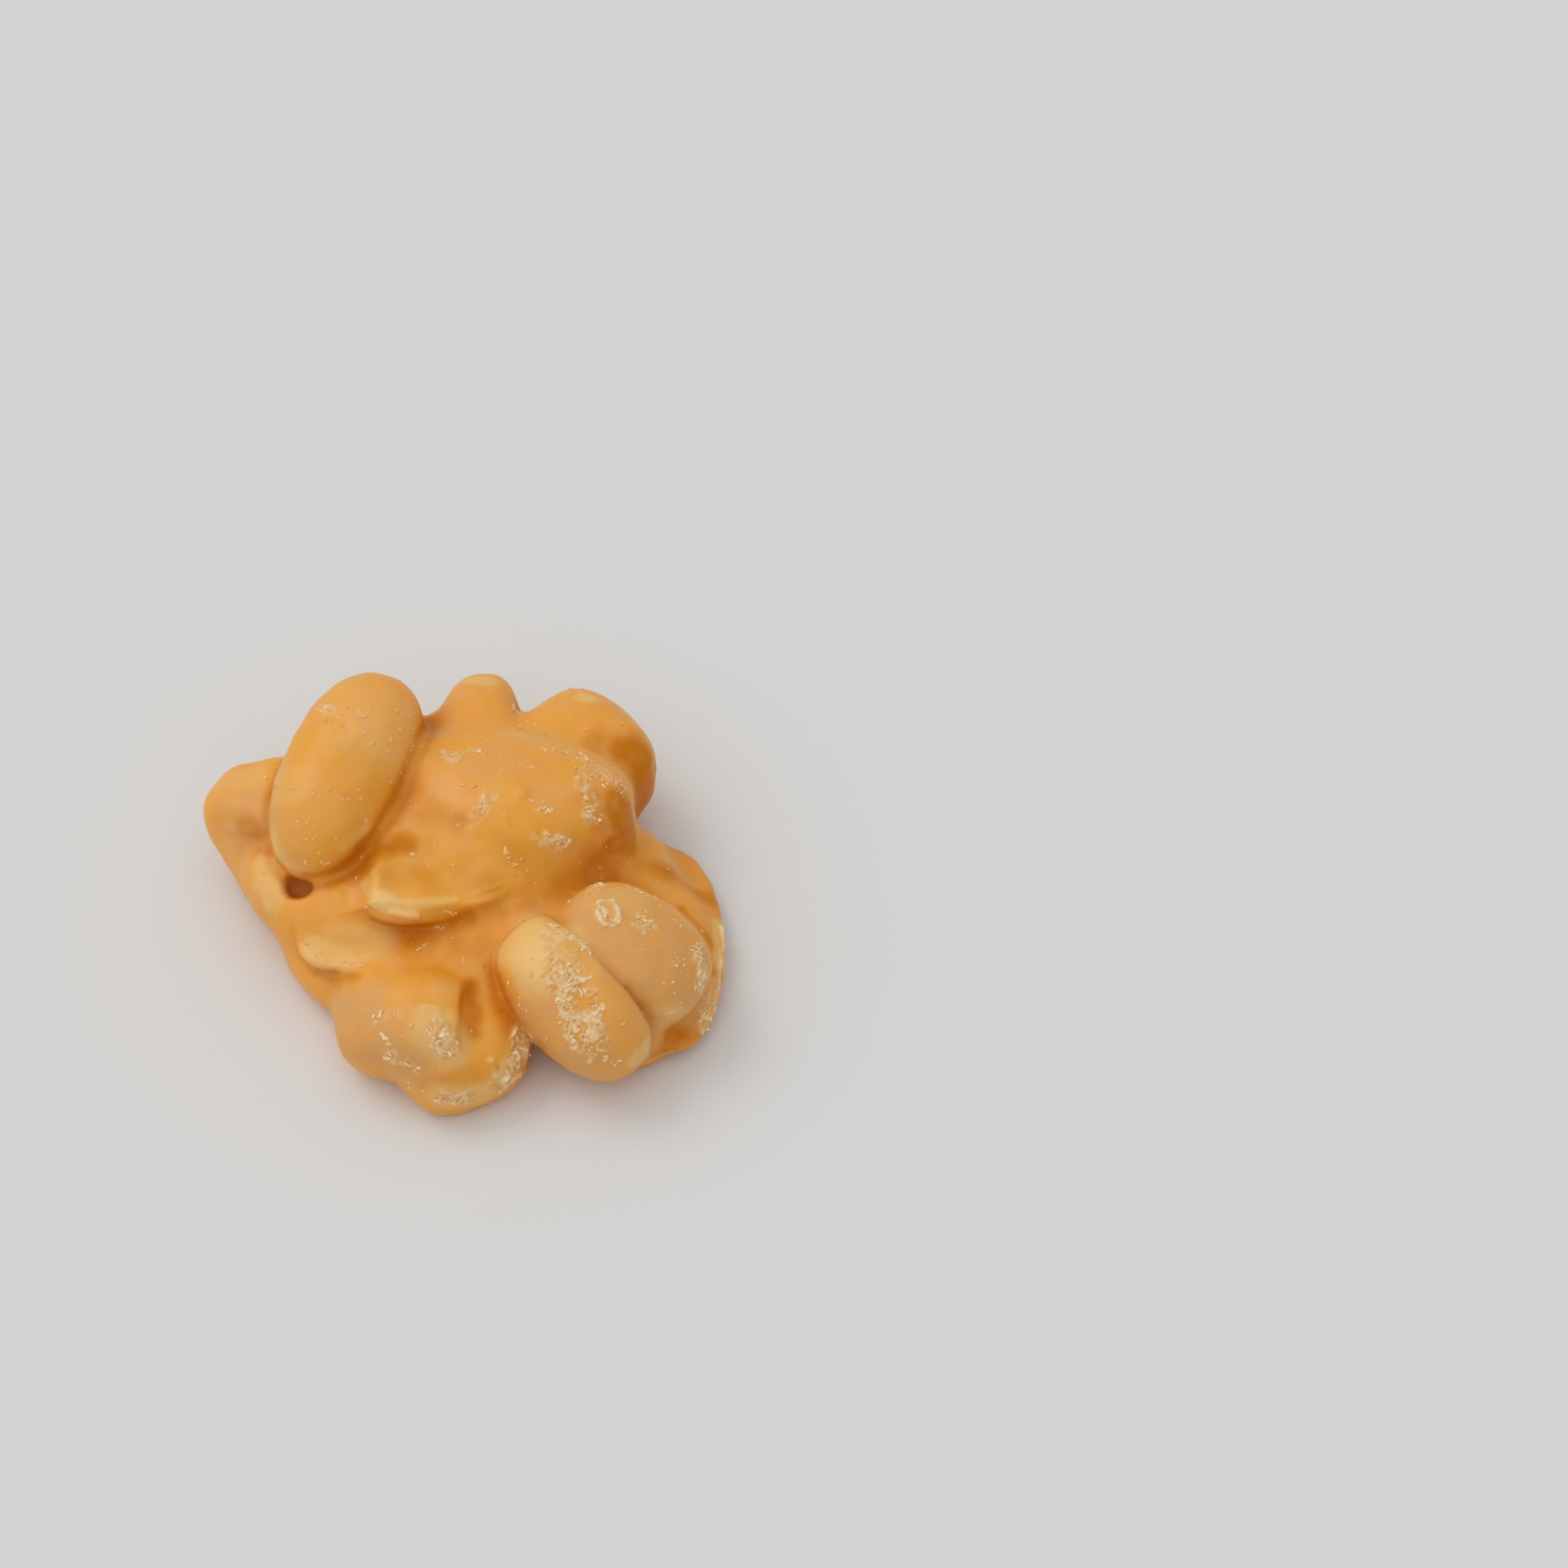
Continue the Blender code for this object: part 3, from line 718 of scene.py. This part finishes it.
def wavered(points, pitch, amount):
    """The points pushed about, so that straight lines laid through them come out wavy."""
    pushes = [grain(points, pitch, seed) for seed in (5.9, 17.3, 41.1)]
    return points + amount * np.stack(pushes, axis=-1)


def curls(points):
    """Thin winding ridges, as dry caramel makes where it was rubbed: 0 to 1 at each point."""
    bent = wavered(points, 1.2, 0.5)
    broad_lines = np.clip(1 - 4.5 * np.abs(grain(bent, 1.25, 31.7)), 0, 1)
    fine_lines = np.clip(1 - 4.0 * np.abs(grain(bent, 0.7, 47.3)), 0, 1)
    return np.maximum(broad_lines, 0.75 * fine_lines)


def refine_dry_places(mesh):
    """Halve the mesh's pitch under the scuffs, folds and rings."""
    points = coordinates(mesh)
    wanted = np.zeros(len(points), bool)
    for patch in on_skin(SCUFFS + FOLDS + RINGS):
        wanted |= nearness(patch, points) > -DRY_MARGIN
    body = bmesh.new()
    body.from_mesh(mesh)
    edges = [edge for edge in body.edges if all(wanted[vertex.index] for vertex in edge.verts)]
    bmesh.ops.subdivide_edges(body, edges=edges, cuts=1, use_grid_fill=True)
    body.to_mesh(mesh)
    body.free()


def coat_masks(points, normals, grains, curl, ridge):
    """How thinly coated, filmed, amber, scuffed and crusted each point is, with painted highlights
    on some rims and tops and painted shade in the creases and listed patches.
    """
    broad, middling, small, fine = grains
    amber = patch_mask(AMBER, points, 0.30 * middling + 0.2 * small, 0.7)
    scuff = patch_mask(SCUFFS, points, 0.45 * middling + 0.55 * small, 0.5) * (1 - amber)
    crust = scuff * np.clip(1.5 * curl - 0.3, 0, 1) + ridge
    # Painted shade from the listed patches, varied by grain.
    painted_shade = soft_mask(PAINTED_SHADE_PATCHES, points) * (0.9 + 0.5 * middling)
    return {
        # Thinly coated places together with painted highlights.
        "thin_coat_and_highlight": patch_mask(THIN_COAT_AND_HIGHLIGHTS, points, 0.30 * broad + 0.25 * middling, 0.9),
        "film": patch_mask(FILMED_COAT, points, 0.35 * broad + 0.30 * middling, 1.0),
        "amber": amber,
        "scuff": scuff,
        "crust": np.clip(crust * (0.8 + 0.9 * fine), 0.0, 1.0),
        # Painted shade: crease depth together with the shade patches.
        "hollow": np.maximum(hollowness(points, normals), painted_shade),
    }


def dress_skin(mesh):
    """Give the skin its colour masks, and its unevenness, scuffs, folds, ridges and pits."""
    refine_dry_places(mesh)
    points = coordinates(mesh)
    gradient = slope_at(points, cluster_distance(points))
    normals = gradient / np.linalg.norm(gradient, axis=-1)[:, None]
    grains = [grain(points, size, seed) for size, seed in GRAINS]
    broad, middling, small, fine = grains
    wavy = wavered(points, 1.4, 0.55)
    fold = patch_height(FOLDS, wavy, 0.5 * small + 0.4 * fine)
    ring = ring_height(wavy, 0.35 * small + 0.25 * fine)
    curl = curls(points)
    masks = coat_masks(points, normals, grains, curl, np.clip(fold, 0, 1) * 3.4 + ring * 4.0)
    for name, values in masks.items():
        add_mask(mesh, name, values)
    relief = 0.15 * broad + 0.10 * middling + 0.026 * small
    relief += masks["scuff"] * (0.2 * curl + 0.06 * small - 0.05) + fold + ring
    relief += patch_height(RELIEF, points, 0.4 * middling + 0.3 * small)
    lift = np.clip(points[:, 2] / 1.5, 0.0, 1.0)
    points = points + normals * (relief * lift)[:, None]
    mesh.vertices.foreach_set("co", points.ravel())
    mesh.polygons.foreach_set("use_smooth", [True] * len(mesh.polygons))
    mesh.update()


def add_chip(body, place, normal, along, size, dice):
    """One small irregular chip, its flat side on the skin; size is length, width and height."""
    across = normal.cross(along).normalized()
    corners = []
    for _ in range(CHIP_CORNERS):
        direction = Vector([dice.gauss(0.0, 1.0) for _ in range(3)]).normalized()
        direction *= dice.uniform(0.75, 1.0) / 2
        shape = along * (direction.x * size[0]) + across * (direction.y * size[1])
        shape += normal * (direction.z * size[2] + 0.2 * size[2])
        corners.append(body.verts.new(place + shape))
    hull = bmesh.ops.convex_hull(body, input=corners)
    loose = [item for item in hull["geom_interior"] if isinstance(item, bmesh.types.BMVert)]
    bmesh.ops.delete(body, geom=loose, context="VERTS")


def lay_flake(body, tree, near, length, squash, dice):
    """A flake: one chip if it is short, else chips one after another along a winding line."""
    place, normal, _, _ = tree.find_nearest(near)
    heading = Matrix.Rotation(dice.uniform(0.0, math.tau), 3, normal) @ normal.orthogonal()
    step = min(length, LONGEST_CHIP)
    width = step * dice.uniform(0.5, 0.9)
    for _ in range(max(1, round(length / LONGEST_CHIP * 1.3))):
        height = (0.10 + squash * width) * dice.uniform(0.7, 1.1)
        size = (step * 1.2, width * dice.uniform(0.6, 1.2), height)
        along = heading - normal * heading.dot(normal)
        add_chip(body, place, normal, along.normalized(), size, dice)
        heading = Matrix.Rotation(dice.gauss(0.0, 0.6), 3, normal) @ along.normalized()
        place, normal, _, _ = tree.find_nearest(place + heading * (step * 0.6))


def strew(body, tree, scatter, dice):
    """Flakes about the line of one scatter, each set down on the nearest skin."""
    start = Vector(scatter.start)
    end = Vector(scatter.end)
    for _ in range(scatter.count):
        middle = start.lerp(end, dice.random())
        spread = Vector([dice.gauss(0.0, 0.55) for _ in range(3)]) * scatter.reach
        length = scatter.smallest + (scatter.largest - scatter.smallest) * dice.random() ** 1.6
        lay_flake(body, tree, middle + spread, length, scatter.squash, dice)


def strew_strays(body, tree, skin, dice):
    """Tiny specks anywhere on the upper skin."""
    laid = 0
    while laid < STRAY_SPECKS:
        face = skin.polygons[dice.randrange(len(skin.polygons))]
        if face.center.z < 3.0 or face.normal.z < 0.1:
            continue
        length = STRAY_SMALLEST + (STRAY_LARGEST - STRAY_SMALLEST) * dice.random() ** 1.5
        lay_flake(body, tree, face.center, length, STRAY_SQUASH, dice)
        laid += 1


def finish_chips(body, name, material):
    """Turn a filled bmesh of chips into an object that rides with the cluster."""
    bmesh.ops.recalc_face_normals(body, faces=body.faces)
    bmesh.ops.scale(body, verts=body.verts, vec=(MILLIMETRE,) * 3)
    mesh = bpy.data.meshes.new(name)
    body.to_mesh(mesh)
    body.free()
    mesh.materials.append(material)
    chips = bpy.data.objects.new(name, mesh)
    bpy.context.scene.collection.objects.link(chips)
    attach(chips, "root")


class Nodes:
    """Short calls for building a material's nodes."""

    def __init__(self, name):
        self.material = bpy.data.materials.new(name)
        self.material.use_nodes = True
        self.tree = self.material.node_tree
        self.shader = self.tree.nodes["Principled BSDF"]

    def node(self, kind, **settings):
        made = self.tree.nodes.new(kind)
        for key, value in settings.items():
            setattr(made, key, value)
        return made

    def join(self, source, target):
        self.tree.links.new(source, target)

    def feed(self, socket, value):
        if isinstance(value, tuple):
            socket.default_value = value + (1.0,)
        elif isinstance(value, float):
            socket.default_value = value
        else:
            self.join(value, socket)

    def attribute(self, name):
        return self.node("ShaderNodeAttribute", attribute_name=name).outputs["Fac"]

    def noise(self, scale, detail=2.0, roughness=0.5):
        made = self.node("ShaderNodeTexNoise")
        made.inputs["Scale"].default_value = scale
        made.inputs["Detail"].default_value = detail
        made.inputs["Roughness"].default_value = roughness
        self.join(self.node("ShaderNodeTexCoord").outputs["Object"], made.inputs["Vector"])
        return made.outputs["Fac"]

    def ramp(self, source, low, high, start=0.0, end=1.0):
        made = self.node("ShaderNodeMapRange", interpolation_type="SMOOTHSTEP")
        made.inputs["From Min"].default_value = low
        made.inputs["From Max"].default_value = high
        made.inputs["To Min"].default_value = start
        made.inputs["To Max"].default_value = end
        self.join(source, made.inputs["Value"])
        return made.outputs["Result"]

    def mix(self, share, first, second):
        made = self.node("ShaderNodeMix", data_type="RGBA")
        self.feed(made.inputs[0], share)
        self.feed(made.inputs[6], first)
        self.feed(made.inputs[7], second)
        return made.outputs[2]

    def maths(self, operation, first, second):
        made = self.node("ShaderNodeMath", operation=operation)
        self.feed(made.inputs[0], first)
        self.feed(made.inputs[1], second)
        return made.outputs[0]

    def times(self, first, second):
        return self.maths("MULTIPLY", first, second)

    def bump(self, height, strength, distance):
        made = self.node("ShaderNodeBump")
        made.inputs["Strength"].default_value = strength
        made.inputs["Distance"].default_value = distance
        self.join(height, made.inputs["Height"])
        self.join(made.outputs["Normal"], self.shader.inputs["Normal"])


def coat_colour(coat, cloudy, hollow):
    """Caramel: paler where thinly coated, filmed or scuffed, with painted shade in the creases and
    pools and painted highlights on some rims and tops.
    """
    broad = coat.noise(190.0, 2.0, 0.5)
    mottle = coat.noise(1100.0, 3.0, 0.6)
    tan = coat.ramp(coat.noise(240.0, 3.0, 0.5), 0.42, 0.66, 0.0, 0.4)
    film = coat.times(coat.attribute("film"), coat.ramp(cloudy, 0.3, 0.65, 0.6, 1.0))
    thin_coat_and_highlight = coat.times(coat.attribute("thin_coat_and_highlight"), coat.ramp(mottle, 0.3, 0.6, 0.85, 1.0))
    crumbly = coat.ramp(coat.noise(2600.0, 2.0, 0.6), 0.35, 0.55, 0.6, 1.0)
    colour = coat.mix(coat.ramp(broad, 0.40, 0.62), CREST, GOLDEN)
    colour = coat.mix(tan, colour, TAN)
    # Painted shade: a darker, redder colour in creases and pools, under overhangs and in the
    # listed shade patches.
    colour = coat.mix(hollow, colour, PAINTED_CREASE_SHADE)
    colour = coat.mix(coat.ramp(cloudy, 0.46, 0.7, 0.0, 0.22), colour, CLOUD)
    colour = coat.mix(film, colour, FILM)
    # Paler where thinly coated, and painted highlights on some rims and tops.
    colour = coat.mix(thin_coat_and_highlight, colour, PALE_COAT_AND_HIGHLIGHT)
    colour = coat.mix(coat.ramp(mottle, 0.62, 0.74, 0.0, 0.2), colour, SPECK)
    colour = coat.mix(coat.times(coat.attribute("scuff"), 0.7), colour, RUBBED)
    colour = coat.mix(coat.attribute("amber"), colour, AMBER_COAT)
    return coat.mix(coat.times(coat.attribute("crust"), crumbly), colour, FLAKE)


def coat_material():
    """Satin caramel coat, duller where filmed or crusted, with a rough grain on the scuffs."""
    coat = Nodes("caramel_coat_looks")
    cloudy = coat.noise(430.0, 3.0, 0.55)
    # Painted shade: how far down in a crease each point lies, with the shade patches.
    hollow = coat.ramp(coat.attribute("hollow"), 0.06, 0.64)
    coat.join(coat_colour(coat, cloudy, hollow), coat.shader.inputs["Base Color"])
    rough = coat.ramp(cloudy, 0.3, 0.7, 0.34, 0.46)
    rough = coat.maths("MAXIMUM", rough, coat.times(coat.attribute("film"), 0.58))
    rough = coat.maths("MAXIMUM", rough, coat.times(coat.attribute("crust"), 0.8))
    coat.join(rough, coat.shader.inputs["Roughness"])
    # Painted shade on the sheen: less specular down in the creases and shade patches.
    shine = coat.maths("SUBTRACT", 0.42, coat.times(hollow, 0.34))
    coat.join(shine, coat.shader.inputs["Specular IOR Level"])
    uneven = coat.times(coat.noise(1500.0, 3.0, 0.55), 0.5)
    scuffed = coat.times(coat.attribute("scuff"), coat.noise(3200.0, 3.0))
    coat.bump(coat.maths("ADD", uneven, scuffed), 0.34, 0.0002)
    coat.shader.inputs["Subsurface Weight"].default_value = 0.12
    coat.shader.inputs["Subsurface Radius"].default_value = (1.0, 0.5, 0.2)
    coat.shader.inputs["Subsurface Scale"].default_value = 0.0009
    return coat.material


def chip_material(name, colour, other, roughness):
    """Dry flakes and crumbs in two close tones."""
    chip = Nodes(name)
    share = chip.ramp(chip.noise(700.0, 2.0), 0.38, 0.62)
    chip.join(chip.mix(share, colour, other), chip.shader.inputs["Base Color"])
    chip.shader.inputs["Roughness"].default_value = roughness
    chip.shader.inputs["Specular IOR Level"].default_value = 0.25
    chip.bump(chip.noise(3500.0, 3.0), 0.2, 0.0001)
    return chip.material


def floor_material():
    """Plain pale board with a trace of unevenness."""
    board = Nodes("pale_board")
    shade = board.mix(board.noise(6.0, 2.0), FLOOR, FLOOR_SHADE)
    board.join(shade, board.shader.inputs["Base Color"])
    board.shader.inputs["Roughness"].default_value = 0.9
    board.shader.inputs["Specular IOR Level"].default_value = 0.1
    return board.material


def make_chips(name, scatters, extra, material, dice, tree):
    """One piece of chips: those of the scatters, and what the extra function adds."""
    body = bmesh.new()
    for scatter in on_skin(scatters):
        strew(body, tree, scatter, dice)
    extra(body)
    finish_chips(body, name, material)


def make_cluster():
    """The fine skin that stands for the solid, and what lies on it."""
    mesh = base_skin()
    dress_skin(mesh)
    tree = BVHTree.FromPolygons([v.co for v in mesh.vertices], [p.vertices for p in mesh.polygons])
    dice = random.Random(SEED)

    def crumb_on_edge(body):
        place = skin_seen_at([CRUMB_ON_EDGE])[0]
        lay_flake(body, tree, Vector(place), CRUMB_LENGTH, CRUMB_SQUASH, dice)

    def strays(body):
        strew_strays(body, tree, mesh, dice)

    dry = chip_material("dry_flake", FLAKE, FLAKE_SHADE, 0.5)
    coated = chip_material("coated_speck", SPECK, SPECK_SHADE, 0.45)
    make_chips("dry_flakes", FLAKES, crumb_on_edge, dry, dice, tree)
    make_chips("coated_specks", DROPS, strays, coated, dice, tree)
    mesh.transform(Matrix.Scale(MILLIMETRE, 4))
    mesh.materials.append(coat_material())
    cluster = bpy.data.objects.new("cluster_skin", mesh)
    bpy.context.scene.collection.objects.link(cluster)
    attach(cluster, "root")
    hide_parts(NODE)


def make_camera():
    """The photograph's view: from the front, looking down at 52 degrees."""
    data = bpy.data.cameras.new("camera")
    data.lens = CAMERA_LENS
    data.sensor_width = SENSOR_WIDTH
    camera = bpy.data.objects.new("camera", data)
    camera.location = Vector(CAMERA_AT) * MILLIMETRE
    camera.rotation_euler = (math.radians(90.0 - CAMERA_TILT), 0.0, 0.0)
    bpy.context.scene.collection.objects.link(camera)
    bpy.context.scene.camera = camera


def add_sun(name, strength, spread, direction):
    """A soft light from far off: its angular size sets how soft its shadows are."""
    data = bpy.data.lights.new(name, "SUN")
    data.energy = strength
    data.angle = math.radians(spread)
    data.color = DAYLIGHT
    light = bpy.data.objects.new(name, data)
    light.rotation_euler = Vector(direction).to_track_quat("Z", "Y").to_euler()
    bpy.context.scene.collection.objects.link(light)


def make_light():
    """A very wide soft light from above, a narrower one from the back left and an even fill."""
    add_sun("overhead", OVERHEAD_STRENGTH, OVERHEAD_SPREAD, OVERHEAD_FROM)
    add_sun("window", WINDOW_STRENGTH, WINDOW_SPREAD, WINDOW_FROM)
    world = bpy.data.worlds.new("room")
    world.use_nodes = True
    background = world.node_tree.nodes["Background"]
    background.inputs["Color"].default_value = (1.0, 1.0, 1.0, 1.0)
    background.inputs["Strength"].default_value = FILL_STRENGTH
    bpy.context.scene.world = world
    bpy.context.scene.view_settings.view_transform = "Standard"


def make_floor():
    """The pale board that the cluster lies on."""
    body = bmesh.new()
    bmesh.ops.create_grid(body, x_segments=2, y_segments=2, size=FLOOR_HALF_SIDE * MILLIMETRE)
    mesh = bpy.data.meshes.new("floor")
    body.to_mesh(mesh)
    body.free()
    mesh.materials.append(floor_material())
    floor = bpy.data.objects.new("floor", mesh)
    floor.location.z = -FLOOR_GAP * MILLIMETRE
    bpy.context.scene.collection.objects.link(floor)


make_camera()
make_light()
make_floor()
make_cluster()
